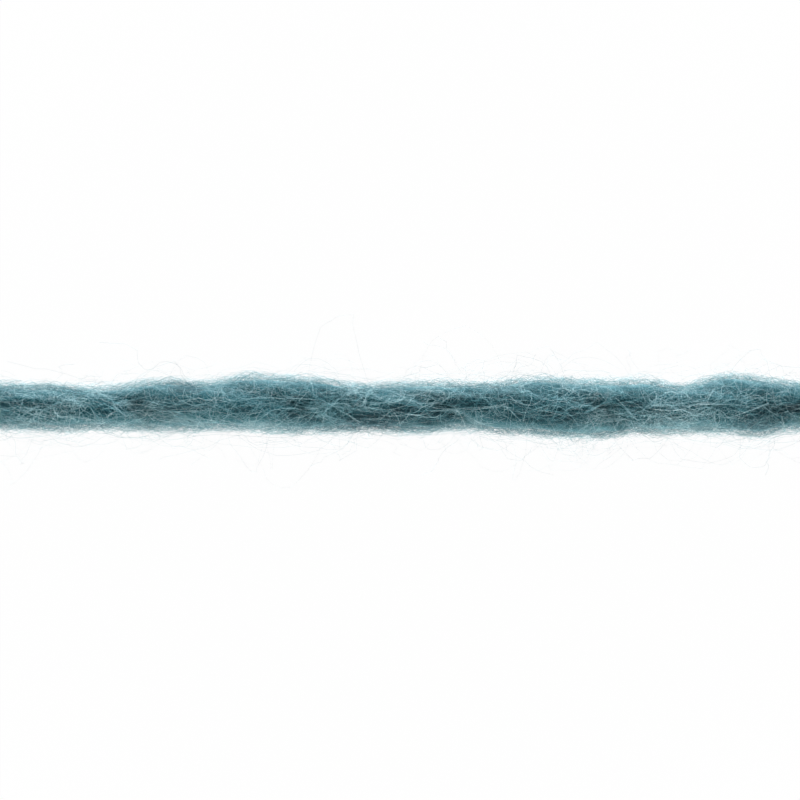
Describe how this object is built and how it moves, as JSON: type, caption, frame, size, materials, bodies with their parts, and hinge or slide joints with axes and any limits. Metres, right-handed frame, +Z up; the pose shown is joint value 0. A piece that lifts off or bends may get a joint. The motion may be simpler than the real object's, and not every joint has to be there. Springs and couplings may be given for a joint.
{
  "type": "strand of thick knitting yarn",
  "caption": "Cut length of thick, softly twisted knitting yarn lying straight, uneven in thickness, with spiral creases and loose cut ends.",
  "frame": {"origin": "on the surface that the strand lies on, under the middle of its length and width", "axes": "+X along the strand, +Z up from the surface, +Y towards the strand's far side, which is the upper side in the picture"},
  "size_m": [0.1, 0.0067, 0.0046],
  "materials": {
    "teal_wool": "matt brushed wool in greyish teal, paler where single fibres stand away"
  },
  "bodies": {
    "root": {"yarn_strand": "teal_wool"}
  },
  "joints": []
}
